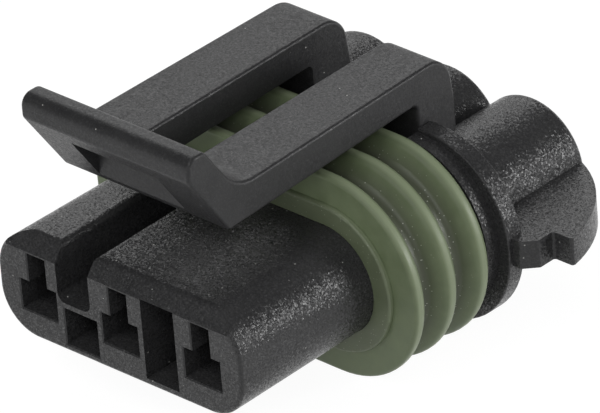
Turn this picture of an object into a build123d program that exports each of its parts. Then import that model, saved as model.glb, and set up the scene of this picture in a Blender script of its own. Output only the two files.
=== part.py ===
from build123d import *
import os

# Sealed three cavity connector body for the end of a wiring loom, sizes in millimetres.
# The pieces are drawn with the mating face at y = 0, the middle of the cavities at z = 0 and
# the cables leaving towards +y. place() then stands the part on its seal, over the origin.

# Cavities and their openings in the front face
ways = 3
pitch = 5.0
front_wall = 1.0
blade_slot_width = 2.2
blade_slot_height = 1.52
blade_slot_drop = 1.5
probe_slot_width = 1.1
probe_slot_height = 1.46
channel_side_play = 0.1
channel_top_play = 0.22
channel_step = 0.12
finger_setback = 2.4
finger_root = 9.5
finger_width = 0.9
finger_thickness = 0.5
finger_lift = 0.15
nib_depth = 0.45
nib_length = 0.9
past = 1.0

# Nose that the mating part slides over
nose_end_wall = 1.3
nose_base_wall = 1.3
nose_top_wall = 0.92
nose_flat = 0.5
seat_flat = 0.02
nose_growth = 0.12
nose_length = 8.4
brow_wall = 0.12
brow_depth = 0.65
brow_round = 0.45
nose_edge = 0.18
rim_edge = 0.06
keyway_edge = 0.3
keyway_width = 2.0
keyway_offset = 0.25
keyway_depth = 2.7
keyway_corner = 0.45
pocket_width = 2.0
pocket_offset = -0.05
pocket_depth = 5.5
pocket_floor = 0.35
pocket_roof = 0.3
pocket_top_wall = 0.78

# Ring seal around the rear of the nose
collar_height = 0.95
collar_thickness = 0.28
collar_round = 0.12
rib_count = 3
rib_pitch = 2.1
rib_height = 2.3
rib_crest = 0.56
rib_slope = 0.5
rib_round = 0.4
first_rib = 0.6
valley_height = 1.4
valley_round = 0.34
seal_end_round = 0.15
seal_play = 0.02

# Shoulder and flange behind the seal
shoulder_length = 0.75
shoulder_rise = 1.87
flange_thickness = 0.95
flange_rise = 2.5
flange_crown = 2.0
flange_skirt = 2.25
flange_flat = 0.15
flange_edge = 0.07

# Rear towers that take the cable seals
tower_wall = 0.7
tower_drop = 0.24
tower_length = 6.5
tower_edge = 0.4
tower_bore = 2.25
tower_bore_end = 0.3
wire_way_radius = 1.45
wire_way_start = 12.0

# Cable seals
cable_seal_inset = 0.5
cable_seal_length = 4.4
cable_seal_core = 1.85
cable_seal_ribs = 3
cable_rib_crest = 0.4
cable_rib_foot = 0.75
cable_rib_round = 0.12
cable_seal_play = 0.02
wire_hole_radius = 0.75
wire_hole_flare = 0.35

# Side barbs, one on each outer tower
barb_thickness = 1.4
barb_drop = 0.34
barb_reach = 4.1
barb_hook_depth = 1.12
barb_hook = 5.63
barb_bow = 0.85
barb_front = 0.25
barb_rear = 0.3
barb_chamfer = 0.62
barb_round = 0.14
barb_root = 1.5

# Latch frame
latch_front_width = 10.18
latch_rear_width = 9.4
window_width = 3.2
window_start = 3.0
window_corner = 0.3
rail_gap = 0.36
rail_rise = 0.3
rail_thickness = 1.8
rail_taper = 0.15
leg_thickness = 2.5
leg_setback = 0.15
leg_lean = 0.25
leg_corner = 1.45
leg_root_round = 0.3
leg_straight = 2.0
foot_rise = 0.14
lip_setback = 0.15
lip_rise = 1.62
lip_height = 1.1
lip_run = 1.15
lip_back_lean = 0.667
lip_top_round = 0.42
lip_front_round = 0.6
lip_ridge_round = 0.35
sweep_round = 2.2
tip_setback = 2.42
tip_round = 0.22
recess_width = 5.2
recess_drop = 0.77
recess_back = 2.17
latch_edge = 0.16
pad_radius = 0.45
pad_height = 0.12
pad_pitch = 1.08
pad_shift = -3.55
pad_setback = 4.05
hinge_radius = 0.5
hinge_play = 0.04

# Terminals, rolled from thin strip
sheet = 0.25
terminal_setback = 2.6
box_width = 2.2
box_height = 1.7
box_length = 5.6
terminal_play = 0.03
window_margin = 0.12
spring_width = 1.2
spring_lift = 0.5
spring_inset = 0.2
spring_heel = 0.6
spring_crest = 1.8
spring_nose = 0.5
spring_nose_lift = 0.12
spring_round = 0.8
strap_share = 0.65
core_barrel = 0.78
core_barrel_gap = 1.1
core_barrel_length = 2.2
jacket_barrel = 1.0
jacket_barrel_gap = 0.9
jacket_barrel_length = 2.0

# Places that follow from the sizes above
cavity_places = [pitch * (i - (ways - 1) / 2) for i in range(ways)]
nose_width = (ways - 1) * pitch + blade_slot_width + 2 * nose_end_wall
keyway_shift = -pitch / 2 - keyway_offset
pocket_shift = pitch / 2 + pocket_offset
slot_floor = -blade_slot_drop
slot_step = slot_floor + blade_slot_height
slot_top = slot_step + probe_slot_height
channel_width = box_width + 2 * channel_side_play
channel_floor = slot_floor - channel_step
channel_top = channel_floor + terminal_play + box_height + channel_top_play
nose_top = slot_top + nose_top_wall
nose_height = nose_top - slot_floor + nose_base_wall
nose_drop = nose_height / 2 - nose_top
nose_corner = nose_height / 2 - nose_flat
seat_corner = nose_height / 2 - seat_flat
brow_height = nose_top_wall - brow_wall
seal_length = first_rib + (rib_count - 1) * rib_pitch + rib_crest / 2 + rib_slope
shoulder_front = nose_length + seal_length + seal_play
flange_front = shoulder_front + shoulder_length
flange_rear = flange_front + flange_thickness
flange_top = nose_top + flange_crown
overall_length = flange_rear + tower_length
tower_radius = tower_bore + tower_wall
tower_bore_depth = cable_seal_inset + cable_seal_length + tower_bore_end
nib_start = finger_setback + nib_length / 2
leg_front = flange_front + leg_setback
leg_rear = leg_front + leg_thickness
leg_foot = tower_radius - tower_drop + foot_rise
leg_half = latch_front_width / 2 - (latch_front_width - latch_rear_width) / 2 * leg_front / leg_rear
rail_lift = nose_top + nose_growth + seal_play + rib_height + rail_gap
rail_under = rail_lift + rail_rise
rail_top = rail_lift + rail_thickness
lip_ridge = rail_top + lip_rise
lip_top = lip_ridge + lip_height
rest_height = nose_height / 2 + nose_drop + nose_growth + seal_play + rib_height


def place(shape):
    """Stand a piece on the ribs of the seal, with the middle of the part over the origin."""
    return Pos(0, -overall_length / 2, rest_height) * shape


def push(sketch, start, length):
    """Push a sketch of x and z from y = start towards the rear."""
    return extrude(Plane.XZ.offset(-start) * sketch, amount=-length)


def slab(outline, half_width):
    """Thicken an outline of y and z to both sides of x = 0."""
    return extrude(Plane.YZ * outline, amount=half_width, both=True)


def block(x0, x1, y0, y1, z0, z1):
    return Pos((x0 + x1) / 2, (y0 + y1) / 2, (z0 + z1) / 2) * Box(x1 - x0, y1 - y0, z1 - z0)


def rounded_face(corners):
    """Face with corners (a, b, radius)."""
    points = [(a, b) for a, b, _ in corners]
    return make_face(FilletPolyline(*points, radius=[r for _, _, r in corners], close=True))


def along_y(radius, start, length, x=0.0, z=0.0):
    """Cylinder that runs from y = start towards the rear."""
    return Pos(x, start + length / 2, z) * Rot(90, 0, 0) * Cylinder(radius, length)


def nose_section(growth=0.0, corner=seat_corner):
    """Rounded section of the nose, grown outwards evenly; it gets rounder towards the seat of the seal."""
    return Pos(0, -nose_drop) * RectangleRounded(
        nose_width + 2 * growth, nose_height + 2 * growth, corner + growth)


def keyway():
    """Open groove along the top of the nose, which keeps a wrong mating part out."""
    section = RectangleRounded(keyway_width, 2 * keyway_depth, keyway_corner)
    return push(Pos(keyway_shift, nose_top) * section, -past, nose_length + 2 * past)


def brow():
    """Wedge that slopes the top of the nose down to the front face, round where it meets the top."""
    slope = brow_height / brow_depth
    low, top = nose_top - brow_height, nose_top + brow_height
    wedge = [(-past, low - past * slope, 0), (brow_depth, nose_top, brow_round),
             (nose_length, nose_top + 2 * nose_growth, 0), (nose_length, top, 0), (-past, top, 0)]
    return slab(rounded_face(wedge), nose_width)


def nose():
    """Nose with a slight draft, its keyway and brow, and the straight seat under the seal."""
    rear = Plane.XZ.offset(-nose_length)
    body = loft([Plane.XZ * nose_section(0, nose_corner), rear * nose_section(nose_growth)])
    body -= keyway()
    rims = [e for e in body.edges() if e.length > nose_length / 2 and e.center().Z > nose_top - keyway_edge
            and abs(abs(e.center().X - keyway_shift) - keyway_width / 2) < keyway_edge / 2]
    body = fillet(rims, keyway_edge) - brow()
    outline = body.faces().sort_by(Axis.Y)[0].outer_wire().edges()
    below = [e for e in outline if e.center().Z < nose_top - brow_height - nose_edge / 2
             and abs(e.center().X - keyway_shift) > keyway_width]
    return fillet(below, nose_edge) + push(nose_section(nose_growth), nose_length, flange_rear - nose_length)


def pockets():
    """Two blind pockets that keep the walls of the nose even."""
    floor = -nose_height / 2 - nose_drop + pocket_floor
    under_keyway = nose_top - keyway_depth - pocket_roof
    under_top = nose_top - pocket_top_wall
    return [block(x - pocket_width / 2, x + pocket_width / 2, -past, pocket_depth, floor, top)
            for x, top in ((-pocket_shift, under_keyway), (pocket_shift, under_top))]


def cavity():
    """What is cored out for one terminal: keyhole opening, channel, wire way and seal bore."""
    half = blade_slot_width / 2
    probe = probe_slot_width / 2
    side = channel_width / 2
    bore_start = overall_length - tower_bore_depth
    hollow = block(-half, half, -past, front_wall, slot_floor, slot_step)
    hollow += block(-probe, probe, -past, finger_root, slot_step, slot_top)
    hollow += block(-side, side, front_wall, wire_way_start, channel_floor, channel_top)
    wire_way_length = bore_start - wire_way_start + 2 * past
    hollow += along_y(wire_way_radius, wire_way_start - past, wire_way_length, z=-tower_drop)
    hollow += along_y(tower_bore, bore_start, tower_bore_depth + past, z=-tower_drop)
    return hollow - locking_finger()


def locking_finger():
    """Springy finger above the terminal, with a nib that drops into the terminal's window."""
    low = channel_top + finger_lift
    side = finger_width / 2
    beam = block(-side, side, finger_setback, finger_root + past, low, low + finger_thickness)
    nib = block(-side, side, nib_start, nib_start + nib_length, low - finger_lift - nib_depth, low)
    return beam + nib


def tower(x):
    """Round tube behind one cavity."""
    start = flange_front + flange_thickness / 2
    tube = Rot(90, 0, 0) * Cylinder(tower_radius, overall_length - start)
    tube = Pos(x, (start + overall_length) / 2, -tower_drop) * tube
    return fillet(tube.edges().filter_by(GeomType.CIRCLE).sort_by(Axis.Y)[-1:], tower_edge)


def flange():
    """Rim that the mating part stops against, with the shoulder that the seal leans on."""
    height = nose_height + flange_crown + flange_skirt
    outline = RectangleRounded(nose_width + 2 * flange_rise, height, height / 2 - flange_flat)
    rim = push(Pos(0, flange_top - height / 2) * outline, flange_front, flange_thickness)
    faces = rim.faces().sort_by(Axis.Y)
    rim = fillet(faces[0].edges() + faces[-1].edges(), flange_edge)
    return rim + push(nose_section(shoulder_rise), shoulder_front, shoulder_length + flange_thickness / 2)


def leg_roots():
    """Stubs on the towers that the legs of the latch stand on."""
    inner = window_width / 2
    outer = latch_rear_width / 2
    roots = [block(a, b, flange_front + flange_edge, leg_rear, -tower_drop, leg_foot - hinge_play)
             for a, b in ((-outer, -inner), (inner, outer))]
    return Compound(children=roots)


def leg_notches():
    """Notches in the flange, in which the legs of the latch tilt."""
    inner = window_width / 2 - hinge_play
    outer = leg_half + hinge_play
    return [block(a, b, flange_front - past, flange_rear + past, leg_foot - hinge_play, flange_top + past)
            for a, b in ((-outer, -inner), (inner, outer))]


def barb(side):
    """Flat wing with a hook at its front, which a rear cover snaps behind."""
    hook_y = overall_length - barb_hook
    front_y = flange_front + barb_front
    neck = cavity_places[-1] + tower_radius
    tip = neck + barb_reach
    throat = tip - barb_hook_depth
    rear_y = overall_length - barb_rear
    run, fall = barb_reach, rear_y - hook_y
    chord = (run ** 2 + fall ** 2) ** 0.5
    middle = ((neck + tip) / 2 + barb_bow * fall / chord, (rear_y + hook_y) / 2 + barb_bow * run / chord)
    rim = Polyline((tip, hook_y), (throat, hook_y), (throat, front_y + barb_chamfer),
                   (throat - barb_chamfer, front_y), (neck - barb_root, front_y),
                   (neck - barb_root, rear_y), (neck, rear_y))
    back = ThreePointArc((neck, rear_y), middle, (tip, hook_y))
    outline = make_face([*rim.edges(), back])
    corners = [v for v in outline.vertices() if v.X > throat - 2 * barb_chamfer]
    outline = fillet(corners, barb_round)
    wing = extrude(Pos(0, 0, -barb_drop) * outline, amount=barb_thickness / 2, both=True)
    return wing if side > 0 else mirror(wing, about=Plane.YZ)


def housing():
    body = nose() + flange()
    for x in cavity_places:
        body += tower(x)
    body += leg_roots()
    body += barb(1)
    body += barb(-1)
    for cut in pockets() + leg_notches():
        body -= cut
    for x in cavity_places:
        body -= Pos(x, 0, 0) * cavity()
    rims = [e for wire in body.faces().sort_by(Axis.Y)[0].inner_wires() for e in wire.edges()]
    return chamfer(rims, rim_edge)


def seal_corners():
    """Corners of the seal's section: distance along the nose, height over it, rounding."""
    corners = [(0, 0, 0), (0, collar_height, collar_round), (collar_thickness, collar_height, 0)]
    for i in range(rib_count):
        crest = first_rib + i * rib_pitch
        front, back = crest - rib_crest / 2, crest + rib_crest / 2
        if i:
            corners.append((front - rib_slope, valley_height, valley_round))
        corners += [(front, rib_height, rib_round if i else rib_round / 2), (back, rib_height, rib_round),
                    (back + rib_slope, valley_height, valley_round if i < rib_count - 1 else seal_end_round)]
    return corners + [(seal_length, 0, 0)]


def ring_seal():
    """Soft ring with a front collar and rounded ribs, swept around the section of the nose."""
    base = nose_height / 2 + nose_growth + seal_play - nose_drop
    section = [(nose_length + along, base + height, r) for along, height, r in seal_corners()]
    path = Plane.XZ.offset(-nose_length) * nose_section(nose_growth + seal_play)
    return sweep(Plane.YZ * rounded_face(section), path.wire())


def cable_seal():
    """Ribbed plug with a hole for one cable, which fills the bore of a tower."""
    start = overall_length - cable_seal_inset - cable_seal_length
    lip = tower_bore - cable_seal_play
    rib = cable_seal_length / (2 * cable_seal_ribs)
    corners = [(wire_hole_radius + wire_hole_flare, start, 0), (wire_hole_radius, start + wire_hole_flare, 0),
               (wire_hole_radius, start + cable_seal_length - wire_hole_flare, 0),
               (wire_hole_radius + wire_hole_flare, start + cable_seal_length, 0)]
    for i in reversed(range(cable_seal_ribs)):
        crest = start + rib * (2 * i + 1)
        foot, edge = rib * cable_rib_foot, rib * cable_rib_crest
        corners += [(cable_seal_core, crest + foot, 0), (lip, crest + edge, cable_rib_round),
                    (lip, crest - edge, cable_rib_round), (cable_seal_core, crest - foot, 0)]
    corners.append((cable_seal_core, start, 0))
    return Pos(0, 0, -tower_drop) * revolve(rounded_face(corners), Axis.Y)


def terminal():
    """Female terminal: box with a spring tongue, then two rolled barrels for core and jacket."""
    low = channel_floor + terminal_play
    half = box_width / 2
    front, rear = terminal_setback, terminal_setback + box_length
    box = block(-half, half, front, rear, low, low + box_height)
    box -= block(-half + sheet, half - sheet, front - past, rear + past,
                 low + sheet, low + box_height - sheet)
    window_half = finger_width / 2 + window_margin
    box -= block(-window_half, window_half, nib_start - window_margin, nib_start + nib_length + window_margin,
                 low + box_height / 2, low + box_height + past)
    floor, heel = low + sheet, rear - spring_heel
    tongue = [(front + spring_inset, low + sheet / 2, 0), (heel, low + sheet / 2, 0), (heel, floor, 0),
              (front + spring_crest, floor + spring_lift, spring_round),
              (front + spring_nose, floor + spring_nose_lift, 0)]
    box += slab(rounded_face(tongue), spring_width / 2)
    core_start = rear + core_barrel_gap
    jacket_start = core_start + core_barrel_length + jacket_barrel_gap
    barrels = [(core_barrel, core_start, core_barrel_length),
               (jacket_barrel, jacket_start, jacket_barrel_length)]
    side = core_barrel * strap_share
    strap = block(-side, side, rear - sheet, jacket_start + jacket_barrel_length, low, low + sheet)
    for radius, start, length in barrels:
        strap += along_y(radius, start, length, z=low + radius)
    for radius, start, length in barrels:
        strap -= along_y(radius - sheet, start, length, z=low + radius)
    return box + strap


def latch():
    """Frame of two rails with a thumb lip in front and a leg under each rail at the rear."""
    lip_back = lip_setback + lip_run
    sweep_start = lip_back + (lip_top - rail_top) * lip_back_lean
    profile = [(tip_setback, rail_lift, tip_round), (leg_front, rail_under, leg_root_round),
               (leg_front, leg_foot, 0), (leg_rear, leg_foot, hinge_radius),
               (leg_rear, leg_foot + leg_straight, 0),
               (leg_rear - leg_lean, rail_under + rail_thickness - rail_taper, leg_corner),
               (sweep_start, rail_top, sweep_round), (lip_back, lip_top, lip_top_round),
               (lip_setback, lip_top, lip_front_round), (lip_setback, lip_ridge, lip_ridge_round)]
    frame = slab(rounded_face(profile), latch_front_width / 2)
    front, rear = latch_front_width / 2, latch_rear_width / 2
    plan = Polyline((-front, 0), (front, 0), (rear, leg_rear), (-rear, leg_rear), close=True)
    frame &= extrude(make_face(plan), amount=2 * lip_top, both=True)
    window_length = leg_rear + past - window_start
    window = RectangleRounded(window_width, 2 * window_length, window_corner)
    frame -= Pos(0, leg_rear + past, 0) * extrude(window, amount=2 * lip_top, both=True)
    frame = fillet(long_edges(frame), latch_edge) - latch_recess()
    for i in range(2):
        pad = Pos(pad_shift + i * pad_pitch, pad_setback, rail_top + pad_height / 2)
        frame += pad * Cylinder(pad_radius, 3 * pad_height)
    return frame


def long_edges(frame):
    """Edges that run along the outer sides of the frame and along the tops of its window."""
    edges = [e for e in frame.edges() if abs(e.tangent_at(0.5).X) < 0.5]
    outer = [e for e in edges if abs(e.center().X) > latch_rear_width / 2 - latch_edge]
    window = [e for e in edges if abs(abs(e.center().X) - window_width / 2) < window_corner / 4
              and e.center().Z > rail_under + rail_thickness / 2
              and e.center().Y > window_start + window_corner]
    return outer + window


def latch_recess():
    """Recess in the lower front face of the lip, where the mating catch rides up."""
    half = recess_width / 2
    return block(-half, half, -past, recess_back, rail_lift - past, lip_ridge - recess_drop)


pieces = {"housing": housing(), "latch": latch(), "ring_seal": ring_seal()}
for side, x in zip(("left", "middle", "right"), cavity_places):
    pieces[f"cable_seal_{side}"] = Pos(x, 0, 0) * cable_seal()
    pieces[f"terminal_{side}"] = Pos(x, 0, 0) * terminal()

os.makedirs("parts", exist_ok=True)
for name, shape in pieces.items():
    shape = place(shape)
    print(name, round(shape.volume, 3), shape.is_valid, len(shape.solids()))
    export_step(shape, f"parts/{name}.step")
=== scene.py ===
import bpy
import math
from mathutils import Matrix, Vector

# Sealed loom connector: black moulded housing and latch, green ring seal, drawn in metres

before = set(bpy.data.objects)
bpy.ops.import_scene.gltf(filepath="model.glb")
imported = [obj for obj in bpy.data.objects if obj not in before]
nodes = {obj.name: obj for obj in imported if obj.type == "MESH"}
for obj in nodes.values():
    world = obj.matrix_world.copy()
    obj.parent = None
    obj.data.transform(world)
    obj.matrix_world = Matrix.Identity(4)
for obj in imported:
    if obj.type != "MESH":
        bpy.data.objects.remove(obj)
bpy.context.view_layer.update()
mm = 0.001
print("frame loaded:", len(nodes), "solids")


def emptyTree(owner):
    owner.use_nodes = True
    owner.node_tree.nodes.clear()
    return owner.node_tree


def startMaterial(name):
    material = bpy.data.materials.new(name)
    tree = emptyTree(material)
    output = tree.nodes.new("ShaderNodeOutputMaterial")
    shader = tree.nodes.new("ShaderNodeBsdfPrincipled")
    tree.links.new(shader.outputs["BSDF"], output.inputs["Surface"])
    return material, tree, shader


def noise(tree, place, size, detail=2.0, rough=0.55):
    # size is the width of one fleck in metres
    node = tree.nodes.new("ShaderNodeTexNoise")
    node.inputs["Scale"].default_value = 1 / size
    node.inputs["Detail"].default_value = detail
    node.inputs["Roughness"].default_value = rough
    tree.links.new(place, node.inputs["Vector"])
    return node.outputs["Fac"]


def spread(tree, value, low, high, fromLow=0.3, fromHigh=0.7):
    # stretches a value from fromLow..fromHigh, where most noise lies, over low..high
    node = tree.nodes.new("ShaderNodeMapRange")
    tree.links.new(value, node.inputs["Value"])
    numbers = {"From Min": fromLow, "From Max": fromHigh, "To Min": low, "To Max": high}
    for socket, number in numbers.items():
        node.inputs[socket].default_value = number
    return node.outputs["Result"]


def blendColours(tree, factor, first, second):
    node = tree.nodes.new("ShaderNodeMix")
    node.data_type = "RGBA"
    tree.links.new(factor, node.inputs["Factor"])
    for socket, colour in (("A", first), ("B", second)):
        target = [s for s in node.inputs if s.name == socket and s.type == "RGBA"][0]
        if isinstance(colour, tuple):
            target.default_value = (*colour, 1)
        else:
            tree.links.new(colour, target)
    return [s for s in node.outputs if s.type == "RGBA"][0]


def combine(tree, operation, first, second):
    node = tree.nodes.new("ShaderNodeMath")
    node.operation = operation
    tree.links.new(first, node.inputs[0])
    if isinstance(second, float):
        node.inputs[1].default_value = second
    else:
        tree.links.new(second, node.inputs[1])
    return node.outputs["Value"]


def facets(tree, place, size, tilt):
    # a normal that tips by a random amount in each small cell, as on a blasted surface
    cells = tree.nodes.new("ShaderNodeTexVoronoi")
    cells.inputs["Scale"].default_value = 1 / size
    tree.links.new(place, cells.inputs["Vector"])
    normal = tree.nodes.new("ShaderNodeNewGeometry").outputs["Normal"]
    middle = (0.5, 0.5, 0.5)
    steps = [("SUBTRACT", middle), ("MULTIPLY", (tilt, tilt, tilt)), ("ADD", normal), ("NORMALIZE", None)]
    last = cells.outputs["Color"]
    for operation, second in steps:
        node = tree.nodes.new("ShaderNodeVectorMath")
        node.operation = operation
        tree.links.new(last, node.inputs[0])
        if isinstance(second, tuple):
            node.inputs[1].default_value = second
        elif second:
            tree.links.new(second, node.inputs[1])
        last = node.outputs["Vector"]
    return last


def roughen(tree, shader, height, strength, depth, base=None):
    # depth is in metres; base is the normal that the bumps stand on
    bump = tree.nodes.new("ShaderNodeBump")
    bump.inputs["Strength"].default_value = strength
    bump.inputs["Distance"].default_value = depth
    tree.links.new(height, bump.inputs["Height"])
    if base:
        tree.links.new(base, bump.inputs["Normal"])
    tree.links.new(bump.outputs["Normal"], shader.inputs["Normal"])


def ownPlace(tree):
    return tree.nodes.new("ShaderNodeTexCoord").outputs["Object"]


def dots(tree, place, apart, width):
    # 1 inside small round dots, 0 between them
    core, edge = 0.35, 0.5
    node = tree.nodes.new("ShaderNodeTexVoronoi")
    node.inputs["Scale"].default_value = 1 / apart
    tree.links.new(place, node.inputs["Vector"])
    return spread(tree, node.outputs["Distance"], 1, 0, core * width / apart, edge * width / apart)


# The glass filled plastic has a leathery eroded grain that glitters where a lamp grazes it,
# and a little dust
blackPlastic = {
    "colour": (0.028, 0.028, 0.029),
    "worn": (0.036, 0.036, 0.037),
    "paleFleck": (0.055, 0.055, 0.056),
    "dust": (0.42, 0.42, 0.4),
    "dustApart": 0.7 * mm,
    "dustWidth": 0.08 * mm,
    "grainSize": 0.14 * mm,
    "grainDetail": 1.5,
    "grainDepth": 0.02 * mm,
    "grainStrength": 0.7,
    "facetSize": 0.062 * mm,
    "facetTilt": 0.4,
    "fleckSize": 0.09 * mm,
    "fleckDetail": 1.0,
    "fleckReach": (0.5, 0.75),  # the share of the noise over which a fleck fades in
    "cloudSize": 1.4 * mm,
    "cloudDetail": 3.0,
    "rough": (0.2, 0.38),
    "specular": 0.25,
}
# The latch comes out of a more finely finished part of the mould
latchPlastic = {
    **blackPlastic,
    "colour": (0.023, 0.023, 0.024),
    "worn": (0.03, 0.03, 0.031),
    "paleFleck": (0.042, 0.042, 0.043),
    "dustApart": 0.9 * mm,
    "grainStrength": 0.4,
    "facetTilt": 0.16,
    "rough": (0.34, 0.5),
}


def makeBlackPlastic(name, look):
    material, tree, shader = startMaterial(name)
    place = ownPlace(tree)
    grain = noise(tree, place, look["grainSize"], look["grainDetail"], 0.5)
    fleck = noise(tree, place, look["fleckSize"], look["fleckDetail"], 0.5)
    cloud = noise(tree, place, look["cloudSize"], look["cloudDetail"])
    layers = (
        (spread(tree, cloud, 0, 1), look["worn"]),
        (spread(tree, fleck, 0, 1, *look["fleckReach"]), look["paleFleck"]),
        (dots(tree, place, look["dustApart"], look["dustWidth"]), look["dust"]),
    )
    colour = look["colour"]
    for mask, tint in layers:
        colour = blendColours(tree, mask, colour, tint)
    tree.links.new(colour, shader.inputs["Base Color"])
    tree.links.new(spread(tree, grain, *look["rough"]), shader.inputs["Roughness"])
    shader.inputs["Specular IOR Level"].default_value = look["specular"]
    tipped = facets(tree, place, look["facetSize"], look["facetTilt"])
    roughen(tree, shader, grain, look["grainStrength"], look["grainDepth"], tipped)
    return material


# Green silicone, matt, with a painted highlight that lightens its crests and collar rim and painted shade
# that darkens its grooves, where dust lies too
# Along Y its ribs stand evenly from 0, and its collar lies between collarFront and collarBack
greenSilicone = {
    "colour": (0.118, 0.15, 0.08),
    "paleFleck": (0.15, 0.186, 0.105),
    # crest is a painted highlight on the crests and the collar rim
    "crest": (0.21, 0.25, 0.155),
    "crestReach": (0.1 * mm, 0.26 * mm),
    # groove is painted shade in the grooves between the ribs
    "groove": (0.088, 0.1, 0.066),
    "grooveReach": (0.4 * mm, 0.8 * mm),
    "ribApart": 2.1 * mm,
    "collarFront": -2.7 * mm,
    "collarBack": -2.44 * mm,
    "collarFade": 0.3,  # the share of the collar over which its painted highlight fades in and out
    "dust": (0.5, 0.52, 0.45),
    "dustApart": 0.22 * mm,
    "dustWidth": 0.06 * mm,
    "cloudSize": 0.9 * mm,
    "skinSize": 0.16 * mm,
    "skinDepth": 0.01 * mm,
    "skinStrength": 0.4,
    "rough": (0.42, 0.56),
    "specular": 0.4,
}


def makeGreenSilicone(look):
    material, tree, shader = startMaterial("greenSilicone")
    place = ownPlace(tree)
    skin = noise(tree, place, look["skinSize"])
    cloud = noise(tree, place, look["cloudSize"])
    split = tree.nodes.new("ShaderNodeSeparateXYZ")
    tree.links.new(place, split.inputs[0])
    along = split.outputs["Y"]
    fromRib = combine(tree, "PINGPONG", along, look["ribApart"] / 2)
    front, back = look["collarFront"], look["collarBack"]
    fade = look["collarFade"] * (back - front)
    collar = combine(tree, "MULTIPLY", spread(tree, along, 0, 1, front, front + fade),
                     spread(tree, along, 1, 0, back - fade, back))
    # painted highlight: the crests and the collar rim are made paler
    paintedSheenMask = combine(tree, "MAXIMUM", collar, spread(tree, fromRib, 1, 0, *look["crestReach"]))
    # painted shade: the grooves are made darker, and the dust below lies in them as well
    groove = spread(tree, fromRib, 0, 1, *look["grooveReach"])
    dust = dots(tree, place, look["dustApart"], look["dustWidth"])
    layers = (
        (spread(tree, cloud, 0, 1), look["paleFleck"]),
        (paintedSheenMask, look["crest"]),
        (groove, look["groove"]),
        (combine(tree, "MULTIPLY", groove, dust), look["dust"]),
    )
    colour = look["colour"]
    for mask, tint in layers:
        colour = blendColours(tree, mask, colour, tint)
    tree.links.new(colour, shader.inputs["Base Color"])
    tree.links.new(spread(tree, cloud, *look["rough"]), shader.inputs["Roughness"])
    shader.inputs["Specular IOR Level"].default_value = look["specular"]
    roughen(tree, shader, skin, look["skinStrength"], look["skinDepth"])
    return material


# Tinned strip of the terminals, with the faint lines of rolling along it
tinnedStrip = {
    "colour": (0.62, 0.56, 0.44),
    "dull": (0.42, 0.37, 0.29),
    "cloudSize": 0.5 * mm,
    "lineSize": 0.05 * mm,
    "lineStretch": 0.06,
    "lineStrength": 0.2,
    "lineDepth": 0.005 * mm,
    "rough": (0.22, 0.4),
}


def makeTinnedStrip(look):
    material, tree, shader = startMaterial("tinnedStrip")
    place = ownPlace(tree)
    stretch = tree.nodes.new("ShaderNodeMapping")
    stretch.inputs["Scale"].default_value = (1, look["lineStretch"], 1)
    tree.links.new(place, stretch.inputs["Vector"])
    lines = noise(tree, stretch.outputs["Vector"], look["lineSize"])
    cloud = noise(tree, place, look["cloudSize"])
    colour = blendColours(tree, spread(tree, cloud, 0, 1), look["colour"], look["dull"])
    tree.links.new(colour, shader.inputs["Base Color"])
    tree.links.new(spread(tree, cloud, *look["rough"]), shader.inputs["Roughness"])
    shader.inputs["Metallic"].default_value = 1.0
    roughen(tree, shader, lines, look["lineStrength"], look["lineDepth"])
    return material


finishes = {
    "housing": makeBlackPlastic("blackPlastic", blackPlastic),
    "latch": makeBlackPlastic("latchPlastic", latchPlastic),
    "seal": makeGreenSilicone(greenSilicone),
    "terminal": makeTinnedStrip(tinnedStrip),
}
for name, solid in nodes.items():
    kind = [k for k in finishes if k in name][0]
    solid.data.materials.clear()
    solid.data.materials.append(finishes[kind])
print("finishes on:", ", ".join(sorted(nodes)))


# White table in a room that is pale near the horizon and dark above it
studio = {
    "floorWidth": 3.0,
    "floorColour": (0.8, 0.8, 0.8),
    "floorGlow": 0.95,
    "floorSeen": (0.12, 0.12, 0.12),
    "ambient": 0.02,
    "horizon": 0.4,
    "roomTop": 0.02,
    "roomReach": (0.15, 0.4),  # the heights between which the room darkens, 0 level and 1 overhead
}


def seenDirectly(tree):
    # 1 for rays from the eye and in gloss or glass, 0 for the light that the surface gives
    path = tree.nodes.new("ShaderNodeLightPath")
    value = path.outputs["Is Camera Ray"]
    for name in ("Is Glossy Ray", "Is Transmission Ray"):
        value = combine(tree, "MAXIMUM", value, path.outputs[name])
    return value


def makeFloor(look):
    half = look["floorWidth"] / 2
    corners = [(-half, -half, 0), (half, -half, 0), (half, half, 0), (-half, half, 0)]
    mesh = bpy.data.meshes.new("floor")
    mesh.from_pydata(corners, [], [(0, 1, 2, 3)])
    floor = bpy.data.objects.new("floor", mesh)
    bpy.context.scene.collection.objects.link(floor)
    material = bpy.data.materials.new("whiteTable")
    tree = emptyTree(material)
    lit = tree.nodes.new("ShaderNodeBsdfDiffuse")
    lit.inputs["Color"].default_value = (*look["floorColour"], 1)
    seen = tree.nodes.new("ShaderNodeBsdfDiffuse")
    seen.inputs["Color"].default_value = (*look["floorSeen"], 1)
    glow = tree.nodes.new("ShaderNodeEmission")
    glow.inputs["Strength"].default_value = look["floorGlow"]
    both = tree.nodes.new("ShaderNodeAddShader")
    tree.links.new(seen.outputs[0], both.inputs[0])
    tree.links.new(glow.outputs[0], both.inputs[1])
    choose = tree.nodes.new("ShaderNodeMixShader")
    tree.links.new(seenDirectly(tree), choose.inputs[0])
    tree.links.new(lit.outputs[0], choose.inputs[1])
    tree.links.new(both.outputs[0], choose.inputs[2])
    output = tree.nodes.new("ShaderNodeOutputMaterial")
    tree.links.new(choose.outputs[0], output.inputs["Surface"])
    mesh.materials.append(material)


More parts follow.
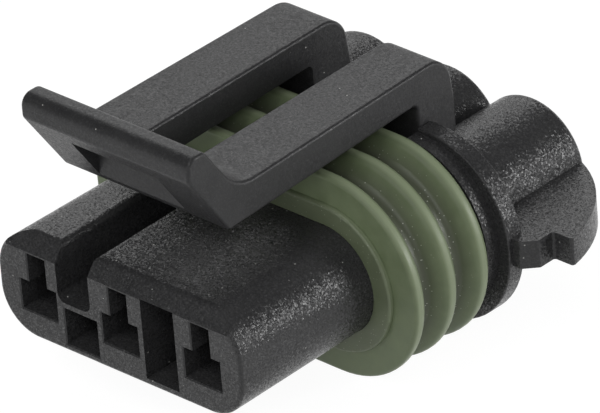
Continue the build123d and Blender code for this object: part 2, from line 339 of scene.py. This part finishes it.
def makeSurroundings(look):
    world = bpy.data.worlds.new("whiteRoom")
    tree = emptyTree(world)
    background = tree.nodes.new("ShaderNodeBackground")
    background.inputs["Color"].default_value = (1, 1, 1, 1)
    direction = tree.nodes.new("ShaderNodeSeparateXYZ")
    tree.links.new(tree.nodes.new("ShaderNodeTexCoord").outputs["Generated"], direction.inputs[0])
    room = spread(tree, direction.outputs["Z"], look["horizon"], look["roomTop"], *look["roomReach"])
    strength = spread(tree, seenDirectly(tree), look["ambient"], 1.0, 0, 1)
    tree.links.new(room, strength.node.inputs["To Max"])
    tree.links.new(strength, background.inputs["Strength"])
    output = tree.nodes.new("ShaderNodeOutputWorld")
    tree.links.new(background.outputs[0], output.inputs["Surface"])
    bpy.context.scene.world = world


makeFloor(studio)
makeSurroundings(studio)

# Lamps: where each stands in millimetres, how wide it is and how strong
lamps = {
    "rearLeft": {"place": (-205, 215, 195), "width": 220, "watts": 0.34},
    "overhead": {"place": (-60, 60, 400), "width": 300, "watts": 0.16},
    "rearRight": {"place": (222, 178, 74), "width": 80, "watts": 0.42},
    "frontRight": {"place": (200, -200, 220), "width": 200, "watts": 0.36},
    "frontHigh": {"place": (0, -250, 320), "width": 200, "watts": 0.4},
    "frontLow": {"place": (-120, -380, 25), "width": 120, "watts": 0.3},
}


def makeLamps(lamps):
    for name, look in lamps.items():
        light = bpy.data.lights.new(name, "AREA")
        light.shape = "SQUARE"
        light.size = look["width"] * mm
        light.energy = look["watts"]
        lamp = bpy.data.objects.new(name, light)
        bpy.context.scene.collection.objects.link(lamp)
        lamp.location = Vector(look["place"]) * mm
        lamp.rotation_euler = (-lamp.location).to_track_quat("-Z", "Y").to_euler()
        lamp.visible_camera = False


makeLamps(lamps)
print("table, surroundings and lamps ready")

# Camera of the photograph: a long lens that looks down on the front right corner, leaning a little
camera = {
    "aim": (3.35, -2.62, 8.16),  # millimetres, as is the distance
    "distance": 417.4,
    "azimuth": 45.348,  # degrees, as are the elevation and the lean
    "elevation": 30.378,
    "lean": -4.896,
    "lens": 566.8,
    "sensor": 36,
    "clip": (0.01, 20),  # metres
}


def makeCamera(look):
    turn, rise = math.radians(look["azimuth"]), math.radians(look["elevation"])
    back = Vector((math.sin(turn) * math.cos(rise), -math.cos(turn) * math.cos(rise), math.sin(rise)))
    right = Vector((math.cos(turn), math.sin(turn), 0))
    upright = Matrix((right, back.cross(right), back)).transposed()
    lean = Matrix.Rotation(math.radians(look["lean"]), 3, "Z")
    data = bpy.data.cameras.new("camera")
    data.lens = look["lens"]
    data.sensor_width = look["sensor"]
    data.clip_start, data.clip_end = look["clip"]
    eye = bpy.data.objects.new("camera", data)
    bpy.context.scene.collection.objects.link(eye)
    eye.location = (Vector(look["aim"]) + back * look["distance"]) * mm
    eye.rotation_euler = (upright @ lean).to_euler()
    bpy.context.scene.camera = eye


makeCamera(camera)
bpy.context.scene.view_settings.view_transform = "Standard"
print("camera ready")
